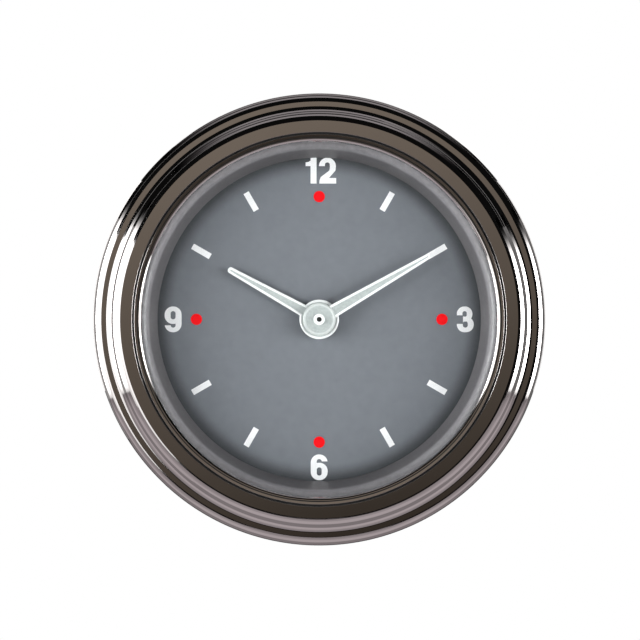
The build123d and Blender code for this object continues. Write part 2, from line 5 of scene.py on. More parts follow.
import bmesh
import bpy
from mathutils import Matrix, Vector


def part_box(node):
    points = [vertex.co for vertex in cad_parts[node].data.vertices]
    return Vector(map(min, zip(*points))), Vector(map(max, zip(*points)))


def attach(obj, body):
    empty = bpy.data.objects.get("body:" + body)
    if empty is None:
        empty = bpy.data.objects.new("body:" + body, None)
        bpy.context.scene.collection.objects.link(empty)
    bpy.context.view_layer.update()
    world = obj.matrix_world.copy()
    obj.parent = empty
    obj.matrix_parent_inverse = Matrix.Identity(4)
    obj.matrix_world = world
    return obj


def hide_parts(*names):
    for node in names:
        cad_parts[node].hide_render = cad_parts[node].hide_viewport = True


# Looks of the panel clock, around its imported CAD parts.
# Outlines are complex numbers in millimetres. A lathe's section is (radius, y), and a place is (x, z).

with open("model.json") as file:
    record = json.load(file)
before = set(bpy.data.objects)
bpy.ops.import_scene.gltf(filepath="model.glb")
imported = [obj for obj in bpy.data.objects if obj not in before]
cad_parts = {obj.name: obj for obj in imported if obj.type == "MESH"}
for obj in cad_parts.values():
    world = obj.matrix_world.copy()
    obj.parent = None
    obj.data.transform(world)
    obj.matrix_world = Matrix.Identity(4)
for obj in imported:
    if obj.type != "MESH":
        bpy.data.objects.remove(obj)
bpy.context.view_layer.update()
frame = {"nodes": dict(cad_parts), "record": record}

MM = 0.001
SHARP_ANGLE = radians(35)
ARC_STEP = radians(9)
FLAT_MARGIN = 0.04
RING_SEGMENTS = 360
SMALL_SEGMENTS = 96
SEGMENTS_PER_RIDGE = 10
FINE_GRAIN = 4.0
NOISE_DETAIL = 5.0
RELIEF_HEIGHT = 0.02 * MM
GLASS_INDEX = 1.45
GLASS_COATING = 0.4
FLAT_FACE = 0.999


# Measures of the CAD parts


def span(node):
    """Front, back and outer radius of a CAD node, in millimetres."""
    low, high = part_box(node)
    return low.y / MM, high.y / MM, (high.x - low.x) / 2 / MM


def middle(node):
    """Place (x, z) of the middle of a CAD node, in millimetres."""
    low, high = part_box(node)
    return (low.x + high.x) / 2 / MM, (low.z + high.z) / 2 / MM


# Meshes


def rounded(*corners):
    """Closed outline through corners (a, b) or (a, b, rounding)."""
    outline = []
    for index, corner in enumerate(corners):
        here = complex(*corner[:2])
        if len(corner) < 3:
            outline.append(here)
            continue
        before = complex(*corners[index - 1][:2]) - here
        after = complex(*corners[(index + 1) % len(corners)][:2]) - here
        before /= abs(before)
        after /= abs(after)
        half = abs(phase(after / before)) / 2
        centre = here + (before + after) / abs(before + after) * corner[2] / sin(half)
        start = here + before * corner[2] / tan(half) - centre
        sweep = phase((here + after * corner[2] / tan(half) - centre) / start)
        steps = max(2, ceil(abs(sweep) / ARC_STEP))
        outline += [centre + start * exp(1j * sweep * k / steps) for k in range(steps + 1)]
    return outline


def held(outline):
    """The closed outline with a point beside each end of its straight runs, so that flats shade flat."""
    result = []
    for index, here in enumerate(outline):
        run = outline[(index + 1) % len(outline)] - here
        result.append(here)
        if abs(run) > 4 * FLAT_MARGIN:
            edge = run / abs(run) * FLAT_MARGIN
            result += [here + edge, here + run - edge]
    return result


def box_outline(width, height, rounding, centre=0j):
    """Rectangle with rounded corners."""
    across, up = width / 2, height / 2
    corners = [(-across, -up), (across, -up), (across, up), (-across, up)]
    return [centre + point for point in rounded(*[(*corner, rounding) for corner in corners])]


def crease(thing):
    """Shades a mesh smooth, apart from its sharp edges."""
    shape = bmesh.new()
    shape.from_mesh(thing.data)
    for face in shape.faces:
        face.smooth = True
    for edge in shape.edges:
        edge.smooth = len(edge.link_faces) == 2 and edge.calc_face_angle(pi) < SHARP_ANGLE
    shape.to_mesh(thing.data)
    shape.free()
    return thing


def mesh_piece(name, points, faces):
    """Object from points in millimetres, with doubled points joined and normals outwards."""
    mesh = bpy.data.meshes.new(name)
    mesh.from_pydata([Vector(point) * MM for point in points], [], faces)
    shape = bmesh.new()
    shape.from_mesh(mesh)
    bmesh.ops.remove_doubles(shape, verts=shape.verts, dist=1e-7)
    bmesh.ops.dissolve_degenerate(shape, dist=1e-8, edges=shape.edges)
    bmesh.ops.holes_fill(shape, edges=[e for e in shape.edges if e.is_boundary], sides=0)
    bmesh.ops.recalc_face_normals(shape, faces=shape.faces)
    shape.to_mesh(mesh)
    shape.free()
    thing = bpy.data.objects.new(name, mesh)
    bpy.context.scene.collection.objects.link(thing)
    return crease(thing)


def lathe(name, section, place=(0, 0), segments=SMALL_SEGMENTS, ripple=None):
    """Closed section turned about Y. ripple gives the radius of a section's point at an angle."""
    points, faces = [], []
    for step in range(segments):
        angle = 2 * pi * step / segments
        for point in section:
            radius = ripple(point, angle) if ripple else point.real
            points.append((place[0] + radius * sin(angle), point.imag, place[1] + radius * cos(angle)))
    rows = len(section)
    for step in range(segments):
        here, ahead = step * rows, (step + 1) % segments * rows
        for row in range(rows):
            after = (row + 1) % rows
            faces.append((here + row, here + after, ahead + after, ahead + row))
    return mesh_piece(name, points, faces)


def prism(name, outline, low, high, along="Y"):
    """Solid of a closed outline, from low to high along an axis."""
    lay = {
        "X": lambda point, level: (level, point.real, point.imag),
        "Y": lambda point, level: (point.real, level, point.imag),
        "Z": lambda point, level: (point.real, point.imag, level),
    }[along]
    count = len(outline)
    points = [lay(point, level) for level in (low, high) for point in outline]
    sides = [(i, (i + 1) % count, count + (i + 1) % count, count + i) for i in range(count)]
    return mesh_piece(name, points, [range(count), range(2 * count - 1, count - 1, -1), *sides])


def modified(thing, kind, **settings):
    """Makes a modifier's result the object's own mesh."""
    modifier = thing.modifiers.new(kind, kind)
    for key, value in settings.items():
        setattr(modifier, key, value)
    shown = thing.evaluated_get(bpy.context.evaluated_depsgraph_get())
    result = bpy.data.meshes.new_from_object(shown)
    thing.modifiers.clear()
    thing.data = result
    return thing


def combined(thing, operation, *others):
    """Boolean of the object with each of the others, which are used up."""
    for other in others:
        modified(thing, "BOOLEAN", object=other, operation=operation, solver="EXACT")
        bpy.data.objects.remove(other)
    return crease(thing)


def softened(thing, width, segments=2):
    """Bevels the sharp edges."""
    settings = {"limit_method": "ANGLE", "angle_limit": SHARP_ANGLE, "harden_normals": True}
    return modified(thing, "BEVEL", width=width * MM, segments=segments, **settings)


def joined(name, *things):
    """One object from several that don't touch."""
    shape = bmesh.new()
    for thing in things:
        shape.from_mesh(thing.data)
        bpy.data.objects.remove(thing)
    mesh = bpy.data.meshes.new(name)
    shape.to_mesh(mesh)
    shape.free()
    whole = bpy.data.objects.new(name, mesh)
    bpy.context.scene.collection.objects.link(whole)
    return whole


# Materials


def add(tree, kind, inputs=(), **settings):
    """Shader node with its inputs set or linked."""
    node = tree.nodes.new("ShaderNode" + kind)
    for key, value in settings.items():
        setattr(node, key, value)
    for key, value in dict(inputs).items():
        if isinstance(value, bpy.types.NodeSocket):
            tree.links.new(value, node.inputs[key])
        else:
            node.inputs[key].default_value = value
    return node


def blank(name):
    """New material with an empty node tree."""
    material = bpy.data.materials.new(name)
    material.use_nodes = True
    material.node_tree.nodes.clear()
    return material, material.node_tree


def noise(tree, scale, stretch=(1, 1, 1)):
    """Noise from 0 to 1 over the object's own coordinates."""
    place = add(tree, "Mapping", {"Vector": add(tree, "TexCoord").outputs["Object"], "Scale": stretch})
    inputs = {
        "Vector": place.outputs["Vector"],
        "Scale": scale,
        "Detail": NOISE_DETAIL,
        "Roughness": 0.6,
    }
    grain = add(tree, "TexNoise", inputs)
    spread = {"Value": grain.outputs["Fac"], "From Min": 0.3, "From Max": 0.7}
    return add(tree, "MapRange", spread).outputs["Result"]


def painted_light_by_radius(tree, colour, inner, outer, share):
    """Painted light and shade: colour that changes to a share of itself from one radius to another, about
    the dial's axis. A share below one paints shade, and a share above one paints a highlight.
    """
    place = add(tree, "SeparateXYZ", {"Vector": add(tree, "TexCoord").outputs["Object"]})
    across = add(tree, "CombineXYZ", {"X": place.outputs["X"], "Z": place.outputs["Z"]})
    radius = add(tree, "VectorMath", {0: across.outputs["Vector"]}, operation="LENGTH").outputs["Value"]
    inputs = {
        "Value": radius,
        "From Min": inner * MM,
        "From Max": outer * MM,
        "To Min": 1.0,
        "To Max": share,
    }
    fade = add(tree, "MapRange", inputs, interpolation_type="SMOOTHSTEP").outputs["Result"]
    return add(tree, "VectorMath", {0: colour, 1: fade}, operation="MULTIPLY").outputs["Vector"]


def surface(
    name, dark, light, roughness, scale, bump=0.0, stretch=(1, 1, 1), edge=None, **sockets
):
    """Finish that varies between two colours and two roughnesses, with a fine relief."""
    material, tree = blank(name)
    broad = noise(tree, scale, stretch)
    grain = noise(tree, scale * FINE_GRAIN, stretch)
    colour = add(tree, "Mix", {"Factor": broad, "A": (*dark, 1), "B": (*light, 1)}, data_type="RGBA")
    colour = colour.outputs["Result"]
    # Painted light: edge scales the colour by radius about the dial's axis, darker for painted shade and
    # lighter for a painted highlight.
    if edge:
        colour = painted_light_by_radius(tree, colour, *edge)
    rough = {"Value": grain, "To Min": roughness[0], "To Max": roughness[1]}
    inputs = {
        "Base Color": colour,
        "Roughness": add(tree, "MapRange", rough).outputs["Result"],
        **{key.replace("_", " "): value for key, value in sockets.items()},
    }
    if bump:
        relief = add(tree, "Bump", {"Height": grain, "Strength": bump, "Distance": RELIEF_HEIGHT})
        inputs["Normal"] = relief.outputs["Normal"]
    shader = add(tree, "BsdfPrincipled", inputs)
    tree.links.new(shader.outputs["BSDF"], add(tree, "OutputMaterial").inputs["Surface"])
    return material


def clear_glass(name, tint):
    """Thin clear glass: it lets light straight through, and mirrors more towards its edges."""
    material, tree = blank(name)
    through = add(tree, "BsdfTransparent", {"Color": (*tint, 1)})
    rough = {"Value": noise(tree, 90), "To Min": 0.0, "To Max": 0.02}
    mirror = add(tree, "BsdfGlossy", {"Roughness": add(tree, "MapRange", rough).outputs["Result"]})
    outside = add(tree, "Math", {1: add(tree, "NewGeometry").outputs["Backfacing"]}, operation="SUBTRACT")
    outside.inputs[0].default_value = 1.0
    share = {0: add(tree, "Fresnel", {"IOR": GLASS_INDEX}).outputs["Fac"], 1: outside.outputs["Value"]}
    bare = add(tree, "Math", share, operation="MULTIPLY")
    coated = add(tree, "Math", {0: bare.outputs["Value"], 1: GLASS_COATING}, operation="MULTIPLY")
    mixed = add(tree, "MixShader", {"Fac": coated.outputs["Value"]})
    tree.links.new(through.outputs["BSDF"], mixed.inputs[1])
    tree.links.new(mirror.outputs["BSDF"], mixed.inputs[2])
    tree.links.new(mixed.outputs["Shader"], add(tree, "OutputMaterial").inputs["Surface"])
    return material


def glow(name, low, high, toward=(0, 0, 1), reach=1.0, fade=None):
    """Light of a card: a colour at each end of a direction in the row frame, faded out towards its ends."""
    material, tree = blank(name)
    position = add(tree, "NewGeometry").outputs["Position"]
    place = add(tree, "SeparateXYZ", {"Vector": position})
    along = add(tree, "VectorMath", {0: position, 1: toward}, operation="DOT_PRODUCT").outputs["Value"]
    share = {"Value": along, "From Min": -reach, "From Max": reach}
    factor = add(tree, "MapRange", share).outputs["Result"]
    colour = add(tree, "Mix", {"Factor": factor, "A": (*low, 1), "B": (*high, 1)}, data_type="RGBA")
    shader = add(tree, "Emission", {"Color": colour.outputs["Result"]})
    if fade:
        axis, centre, full, none = fade
        offset = add(tree, "Math", {0: place.outputs[axis], 1: centre}, operation="SUBTRACT")
        away = add(tree, "Math", {0: offset.outputs["Value"]}, operation="ABSOLUTE")
        inputs = {
            "Value": away.outputs["Value"],
            "From Min": full,
            "From Max": none,
            "To Min": 1,
            "To Max": 0,
        }
        strength = add(tree, "MapRange", inputs, interpolation_type="SMOOTHSTEP")
        soft = add(tree, "Math", {0: strength.outputs["Result"], 1: 3.0}, operation="POWER")
        tree.links.new(soft.outputs["Value"], shader.inputs["Strength"])
    tree.links.new(shader.outputs["Emission"], add(tree, "OutputMaterial").inputs["Surface"])
    return material


finishes = {
    "dark_chrome": surface(
        "dark_chrome", (0.60, 0.57, 0.56), (0.64, 0.61, 0.60), (0.03, 0.06), 60, Metallic=1.0
    ),
    # Painted shade: a near-black finish for the bezel's groove and fine line, and for the arbor's bore.
    "painted_shade_black": surface(
        "painted_shade_black", (0.004, 0.004, 0.004), (0.010, 0.009, 0.009), (0.7, 0.9), 600, 0.1
    ),
    "glass": clear_glass("glass", (0.97, 0.98, 0.98)),
    "rubber": surface("rubber", (0.012, 0.012, 0.012), (0.03, 0.03, 0.03), (0.6, 0.85), 900, 0.3),
    "trim_grey": surface(
        "trim_grey",
        (0.091, 0.0865, 0.091),
        (0.112, 0.106, 0.111),
        (0.30, 0.42),
        1500,
        0.05,
        # Painted highlight: outward of 22.8 mm, the trim ring's front and shoulder are 2.3 times as light
        # as its cone, for the light the shoulder catches.
        edge=(22.5, 22.8, 2.3),
    ),
    "dial_grey": surface(
        "dial_grey",
        (0.150, 0.159, 0.178),
        (0.164, 0.174, 0.194),
        (0.75, 0.95),
        900,
        0.1,
        # Painted shade: from 19.3 to 21.7 mm the dial darkens to 0.3 of its colour, for the shade that the
        # trim ring casts at its edge.
        edge=(19.3, 21.7, 0.30),
    ),
    "print_white": surface(
        "print_white", (0.86, 0.85, 0.86), (0.92, 0.91, 0.92), (0.55, 0.7), 1200, 0.05
    ),
    "print_red": surface(
        "print_red",
        (0.80, 0.004, 0.008),
        (0.86, 0.006, 0.011),
        (0.5, 0.65),
        1200,
        0.05,
        Specular_IOR_Level=0.08,
    ),
    "hand_silver": surface(
        "hand_silver", (0.33, 0.36, 0.355), (0.50, 0.53, 0.52), (0.55, 0.75), 5000, 0.3
    ),
    "hub_edge": surface("hub_edge", (0.52, 0.55, 0.54), (0.64, 0.66, 0.65), (0.35, 0.5), 3000, 0.1),
    "hand_rim": surface("hand_rim", (0.93, 0.94, 0.94), (0.97, 0.97, 0.97), (0.3, 0.4), 1500),
    "case_steel": surface(
        "case_steel",
        (0.50, 0.50, 0.49),
        (0.62, 0.62, 0.60),
        (0.28, 0.42),
        180,
        0.08,
        (1, 6, 1),
        Metallic=1.0,
    ),
    "hardware_steel": surface(
        "hardware_steel", (0.56, 0.56, 0.54), (0.68, 0.68, 0.66), (0.22, 0.36), 300, 0.05, Metallic=1.0
    ),
    "zinc_plate": surface(
        "zinc_plate", (0.36, 0.36, 0.35), (0.50, 0.50, 0.48), (0.42, 0.6), 260, 0.05, Metallic=1.0
    ),
    "brass": surface(
        "brass", (0.66, 0.46, 0.17), (0.76, 0.56, 0.24), (0.18, 0.32), 300, 0.04, Metallic=1.0
    ),
    "tinned_brass": surface(
        "tinned_brass",
        (0.60, 0.58, 0.53),
        (0.70, 0.68, 0.62),
        (0.25, 0.4),
        400,
        0.06,
        (1, 4, 1),
        Metallic=1.0,
    ),
    "acetal": surface("acetal", (0.70, 0.69, 0.64), (0.78, 0.77, 0.72), (0.35, 0.5), 600, 0.05),
    "black_plastic": surface(
        "black_plastic", (0.012, 0.012, 0.014), (0.024, 0.024, 0.027), (0.32, 0.5), 700, 0.25
    ),
    "iron": surface(
        "iron", (0.30, 0.30, 0.31), (0.40, 0.40, 0.41), (0.35, 0.5), 400, 0.1, Metallic=1.0
    ),
    "copper": surface(
        "copper",
        (0.45, 0.14, 0.05),
        (0.62, 0.22, 0.09),
        (0.2, 0.35),
        500,
        0.2,
        (9, 1, 1),
        Metallic=1.0,
    ),
    "magnet": surface(
        "magnet", (0.09, 0.09, 0.10), (0.14, 0.14, 0.15), (0.4, 0.6), 500, 0.1, Metallic=0.6
    ),
    "board": surface("board", (0.008, 0.06, 0.028), (0.015, 0.10, 0.045), (0.25, 0.4), 300, 0.1),
    "can_aluminium": surface(
        "can_aluminium",
        (0.62, 0.62, 0.63),
        (0.72, 0.72, 0.73),
        (0.2, 0.35),
        300,
        0.05,
        (1, 5, 1),
        Metallic=1.0,
    ),
    "bulb_glass": clear_glass("bulb_glass", (0.97, 0.93, 0.84)),
}

for part in frame["record"]["subparts"]:
    mesh = frame["nodes"][part["node"]].data
    mesh.materials.clear()
    mesh.materials.append(finishes[part["material_slot"]])


def two_finishes(piece, first, second, is_second):
    """Gives the faces that pass a test the second finish, and the others the first."""
    piece.data.materials.append(finishes[first])
    piece.data.materials.append(finishes[second])
    for polygon in piece.data.polygons:
        polygon.material_index = int(is_second(polygon))
    return piece


def faces_along_axis(polygon):
    """Whether a face is square to the dial's axis."""
    return abs(polygon.normal.y) > FLAT_FACE


def detail(piece, finish, body):
    """Gives a body an added piece that stands for no CAD node. It may have its finish already."""
    if finish:
        piece.data.materials.append(finishes[finish])
    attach(piece, body)


def finished(piece, body, slot, *nodes):
    """Gives a piece the finish of its slot unless it has a finish already, gives it its body, and hides the
    CAD nodes that it stands for.
    """
    if not piece.data.materials:
        piece.data.materials.append(finishes[slot])
    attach(piece, body)
    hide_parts(*nodes)
    return piece


# Front: bezel, gasket and trim ring

bezel_front, bezel_back, bezel_radius = span("bezel")
trim_front, _, trim_radius = span("trim_ring")
dial_front = span("dial")[0]
gasket_front, gasket_back, gasket_radius = span("panel_gasket")
lens_front = span("lens")[0]

lip_radius = bezel_radius - 6.5
groove_radius = lip_radius + 1.10
groove_half = 0.16
groove_depth = 0.34
fine_line_radius = lip_radius + 0.56
fine_line_half = 0.08
fine_line_depth = 0.28
step_y = bezel_front + 0.93
lens_seat = lens_front - 0.5
flange_front, flange_back = span("case")[0], bezel_back - 0.7
flange_pocket_radius = bezel_radius - 1.3
rear_opening_radius = bezel_radius - 3.8
glass_pocket_radius = trim_radius + 0.15
bezel_section = rounded(
    (lip_radius, lens_seat),
    (lip_radius, bezel_front + 0.14, 0.42),
    (fine_line_radius - fine_line_half, bezel_front + 0.11),
    (fine_line_radius, bezel_front + fine_line_depth),
    (fine_line_radius + fine_line_half, bezel_front + 0.10),
    (groove_radius - groove_half, bezel_front + 0.07, 0.03),
    (groove_radius, bezel_front + groove_depth),
    (groove_radius + groove_half, bezel_front, 0.03),
    (lip_radius + 3.47, bezel_front, 1.38),
    (lip_radius + 4.2, step_y, 1.0),
    (bezel_radius, step_y, 1.15),
    (bezel_radius, bezel_back, 0.5),
    (rear_opening_radius, bezel_back, 0.1),
    (rear_opening_radius, flange_back),
    (flange_pocket_radius, flange_back),
    (flange_pocket_radius, flange_front),
    (glass_pocket_radius, flange_front),
    (glass_pocket_radius, lens_seat),
)


def in_a_groove(polygon):
    """Whether a face of the bezel belongs to its groove or its fine line."""
    radius = polygon.center.xz.length / MM
    in_groove = abs(radius - groove_radius) < groove_half - 0.01
    in_fine_line = abs(radius - fine_line_radius) < fine_line_half
    return (in_groove or in_fine_line) and polygon.center.y / MM < bezel_front + 0.4


bezel_ring = lathe("bezel_ring", held(bezel_section), segments=RING_SEGMENTS)
# Painted shade: the faces of the groove and of the fine line get the near-black finish, for the shade in
# them.
two_finishes(bezel_ring, "dark_chrome", "painted_shade_black", in_a_groove)
finished(bezel_ring, "housing", "dark_chrome", "bezel")

trim_section = rounded(
    (trim_radius, trim_front),
    (trim_radius - 2.15, trim_front, 0.9),
    (trim_radius - 3.6, dial_front - 0.25, 0.1),
    (trim_radius - 3.3, dial_front),
    (trim_radius, dial_front),
)
trim_band = lathe("trim_band", held(trim_section), segments=RING_SEGMENTS)
finished(trim_band, "housing", "trim_grey", "trim_ring")

gasket_inner = gasket_radius - 3.1
gasket_section = rounded(
    (gasket_inner, gasket_front),
    (gasket_radius, gasket_front, 0.3),
    (gasket_radius, gasket_back, 0.3),
    (gasket_inner, gasket_back),
)
seal_ring = lathe("seal_ring", held(gasket_section), segments=RING_SEGMENTS)
finished(seal_ring, "housing", "rubber", "panel_gasket")


# Hands


HUB_STEPS = 64
BLADE_STEPS = 16
TIP_STEPS = 12


def hand_outline(inset, length, root, tip, hub, tip_rounding):
    """Outline of a hand that points to +Z: a tapered blade on a hub disc, moved inwards by inset."""
    slope = (root - tip) / 2 / length
    lean = sqrt(1 + slope * slope)
    radius = hub - inset

    def half_at(height):
        return max(0.012, root / 2 - slope * height - inset * lean)

    meet = radius
    for _ in range(12):
        meet = sqrt(radius * radius - half_at(meet) ** 2)
    top = length - inset
    corner = min(max(0.01, tip_rounding - inset), 0.9 * half_at(top))
    start = phase(complex(half_at(meet), meet))
    sweep = 2 * start + pi
    arc = [radius * exp(1j * (start - sweep * k / HUB_STEPS)) for k in range(HUB_STEPS + 1)]
    blade_run = top - corner - meet
    heights = [meet + blade_run * k / BLADE_STEPS for k in range(1, BLADE_STEPS + 1)]
    rise = [complex(-half_at(height), height) for height in heights]
    turns = [pi * k / TIP_STEPS for k in range(1, TIP_STEPS // 2 + 1)]
    cap = [
        complex(-half_at(top) + corner * (1 - cos(turn)), top - corner + corner * sin(turn))
        for turn in turns
    ]
    fall = [-point.conjugate() for point in reversed(rise + cap)]
    return arc + rise + cap + fall


def hand(name, levels, bearing, sizes):
    """Hand with a bright raised rim around a satin panel. A level is (inset, y)."""
    turn = exp(-1j * radians(bearing))
    points, faces = [], []
    for inset, y in levels:
        points += [(p.real, y, p.imag) for p in (q * turn for q in hand_outline(inset, *sizes))]
    count = len(points) // len(levels)
    for level in range(len(levels) - 1):
        for index in range(count):
            here, after = level * count + index, level * count + (index + 1) % count
            faces.append((here, after, after + count, here + count))
    faces.append(range(count))
    faces.append(range(len(points) - 1, len(points) - count - 1, -1))
    piece = mesh_piece(name, points, faces)
    return two_finishes(piece, "hand_rim", "hand_silver", faces_along_axis)


def blade_levels(front, back):
    """Levels of a hand: back, side, ridge of the rim, and the panel inside it."""
    return [(0.03, back), (0.0, back - 0.03), (0.0, front + 0.12), (0.16, front), (0.31, front + 0.07)]


# Sizes of a hand: length, width at the root and at the tip, hub radius, rounding of the tip's corners.

hand_thickness = 0.30
minute_bearing, hour_bearing = 60, 299
minute_hub_radius = 2.20
minute_front = span("minute_hand")[0]
hour_front = span("hour_hand")[0]
minute_sizes = (17.1, 1.90, 0.72, minute_hub_radius, 0.12)
hour_sizes = (13.9, 1.76, 0.80, 2.63, 0.38)
minute_levels = blade_levels(minute_front, minute_front + hand_thickness)
hour_levels = blade_levels(hour_front, hour_front + hand_thickness)
minute_blade = hand("minute_blade", minute_levels, minute_bearing, minute_sizes)
finished(minute_blade, "minute", "hand_silver", "minute_hand")
hour_blade = hand("hour_blade", hour_levels, hour_bearing, hour_sizes)
finished(hour_blade, "hour", "hand_silver", "hour_hand")

hub_bore = 0.75
hub_back = minute_front + 0.06
hub_face = minute_front - 0.10
hub_section = rounded(
    (hub_bore, hub_back),
    (hub_bore, hub_face),
    (1.82, hub_face),
    (2.02, minute_front - 0.19, 0.05),
    (minute_hub_radius, minute_front - 0.02, 0.05),
    (minute_hub_radius, hub_back),
)
hub = two_finishes(lathe("minute_hub", hub_section), "hub_edge", "hand_silver", faces_along_axis)
detail(hub, None, "minute")

arbor_front = span("minute_arbor")[0] - 0.01
arbor_radius = 0.745
arbor_bore = 0.32
tip_section = rounded(
    (arbor_bore, arbor_front, 0.05),
    (arbor_radius, arbor_front, 0.16),
    (arbor_radius, minute_front),
    (arbor_bore, minute_front),
)
detail(lathe("arbor_tip", tip_section), "hand_rim", "minute")

# Painted shade: a near-black plug inside the arbor tip's bore, for the shade in the hole.
shade_front = span("minute_arbor")[0] + 0.12
shade_radius = 0.34
shade_section = rounded(
    (0, shade_front), (shade_radius, shade_front), (shade_radius, minute_front), (0, minute_front)
)
detail(lathe("bore_shade", shade_section), "painted_shade_black", "minute")


# Rear: studs, nuts, washers and bracket

stud_places = [middle("thumb_nut_left"), middle("thumb_nut_right")]
stud_front, stud_back, _ = span("mounting_studs")
nut_front, nut_back, _ = span("stud_nuts")
washer_front, washer_back, _ = span("lock_washers")
thumb_front, thumb_back, thumb_radius = span("thumb_nut_left")
stud_radius = 2.0
stud_head_height = 1.2
stud_hole_radius = 2.25
thread_pitch = 0.7
thread_depth = 0.38
thread_profile = [(0.0, 0.0), (0.14, 0.0), (0.5, 1.0), (0.62, 1.0)]
nut_flats = 7.0


def threaded_rod(name, place, front, back):
    """Rod with a helical thread. The mesh's rows follow the thread, and its ends are chamfered."""
    segments = 40
    starts = len(thread_profile)
    rows = starts * (ceil((back - front) / thread_pitch) + 2)
    points, faces = [], []
    for row in range(rows):
        share, depth = thread_profile[row % starts]
        for step in range(segments):
            angle = 2 * pi * step / segments
            y = front + (row // starts - 1 + share + step / segments) * thread_pitch
            y = min(max(y, front), back)
            chamfer = stud_radius - 0.5 + min(y - front, back - y)
            radius = min(stud_radius - depth * thread_depth, chamfer)
            points.append((place[0] + radius * sin(angle), y, place[1] + radius * cos(angle)))
    for row in range(rows - 1):
        for step in range(segments - 1):
            here = row * segments + step
            faces.append((here, here + 1, here + 1 + segments, here + segments))
        ahead = row + starts
        if ahead + 1 < rows:
            here = row * segments + segments - 1
            faces.append((here, ahead * segments, (ahead + 1) * segments, here + segments))
    return mesh_piece(name, points, faces)


def hexagon(flats, place):
    """Hexagon of a width across flats, with a corner up."""
    return [complex(*place) + flats / sqrt(3) * exp(1j * pi * (2 * k + 1) / 6) for k in range(6)]


def hex_nut(name, place, front, back, flats, bore):
    """Nut with chamfered corners and a chamfered bore."""
    face_radius = 0.49 * flats
    drop = 0.45
    chamfer = 0.3
    section = rounded(
        (bore, front + chamfer),
        (bore + chamfer, front),
        (face_radius, front),
        (face_radius + 2 * drop, front + drop),
        (face_radius + 2 * drop, back - drop),
        (face_radius, back),
        (bore + chamfer, back),
        (bore, back - chamfer),
    )
    nut = lathe(name, section, place)
    return combined(nut, "INTERSECT", prism("hexagon", hexagon(flats, place), front - 1, back + 1))


def split_washer(name, place, front, back, inner, outer):
    """Spring washer, cut through at the top, with one end standing a little proud."""
    centre = complex((inner + outer) / 2, (front + back) / 2)
    section = box_outline(outer - inner, back - front, 0.12, centre)
    gap = radians(4)
    steps = 72
    points, faces = [], []
    for step in range(steps + 1):
        angle = gap + (2 * pi - 2 * gap) * step / steps
        for point in section:
            across, up = point.real * sin(angle), point.real * cos(angle)
            points.append((place[0] + across, point.imag, place[1] + up))
    count = len(section)
    for step in range(steps):
        for index in range(count):
            here, after = step * count + index, step * count + (index + 1) % count
            faces.append((here, after, after + count, here + count))
    faces += [range(count), range(len(points) - 1, len(points) - count - 1, -1)]
    return mesh_piece(name, points, faces)


def knurl(ridges, inner, depth):
    """Ripple of straight ridges on what stands outside a radius."""

    def radius_at(point, angle):
        return point.real - (point.real > inner) * depth * (1 - abs(cos(ridges * angle / 2)))

    return radius_at


def thumb_nut(name, place):
    """Knurled nut with a plain collar, chamfers and a dished face."""
    ridges = 28
    bore = 2.04
    collar = thumb_radius - 1.5
    collar_back = thumb_front + 1.0
    chamfer = 0.5
    section = rounded(
        (bore, thumb_front + 0.2),
        (2.3, thumb_front),
        (collar, thumb_front, 0.15),
        (collar, collar_back, 0.2),
        (thumb_radius - chamfer, collar_back),
        (thumb_radius, thumb_front + 1.45),
        (thumb_radius, thumb_back - 0.45),
        (thumb_radius - chamfer, thumb_back, 0.1),
        (3.7, thumb_back, 0.15),
        (3.3, thumb_back - 0.35, 0.15),
        (2.5, thumb_back - 0.35),
        (bore, thumb_back - 0.75),
    )
    ripple = knurl(ridges, thumb_radius - 0.2, 0.3)
    return lathe(name, held(section), place, ridges * SEGMENTS_PER_RIDGE, ripple)


head_back = stud_front + stud_head_height
rods = [threaded_rod("rod", place, head_back, stud_back) for place in stud_places]
heads = [hex_nut("head", place, stud_front, head_back, nut_flats, 0.8) for place in stud_places]
finished(joined("threaded_studs", *rods, *heads), "housing", "hardware_steel", "mounting_studs")
nuts = [hex_nut("nut", place, nut_front, nut_back, nut_flats, 2.02) for place in stud_places]
finished(joined("hex_nuts", *nuts), "housing", "hardware_steel", "stud_nuts")
washer_sizes = (washer_front, washer_back, stud_hole_radius, 3.9)
rings = [split_washer("ring", place, *washer_sizes) for place in stud_places]
finished(joined("spring_washers", *rings), "bracket", "hardware_steel", "lock_washers")
for side, place in zip(("left", "right"), stud_places):
    node = f"thumb_nut_{side}"
    finished(thumb_nut(f"knurled_nut_{side}", place), f"nut_{side}", "brass", node)

foot_y, bracket_back, bracket_outer = span("clamp_bracket")
strap_thickness = 1.2
bracket_inner = bracket_outer - strap_thickness
bracket_front = bracket_back - strap_thickness
bracket_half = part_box("clamp_bracket")[1].z / MM
strap = prism(
    "strap",
    rounded(
        (-bracket_outer, foot_y),
        (-bracket_outer, bracket_back, 2.4),
        (bracket_outer, bracket_back, 2.4),
        (bracket_outer, foot_y),
        (bracket_inner, foot_y),
        (bracket_inner, bracket_front, 1.2),
        (-bracket_inner, bracket_front, 1.2),
        (-bracket_inner, foot_y),
    ),
    -bracket_half,
    bracket_half,
    "Z",
)
hole_front, hole_back = 30, 36
hole_section = rounded(
    (0, hole_front), (stud_hole_radius, hole_front), (stud_hole_radius, hole_back), (0, hole_back)
)
holes = [lathe("hole", hole_section, place) for place in stud_places]
notch_outlines = [box_outline(1.6, 1.4, 0.3, complex(foot_y, z)) for z in (-3.0, 0.0, 3.0)]
notches = [prism("notch", outline, -30, 30, "X") for outline in notch_outlines]
combined(strap, "DIFFERENCE", *holes, *notches)
strap.data.materials.append(finishes["zinc_plate"])
finished(softened(strap, 0.16), "bracket", "hardware_steel", "clamp_bracket")


# Rear: setting knob, grommet, terminals and lamp holder

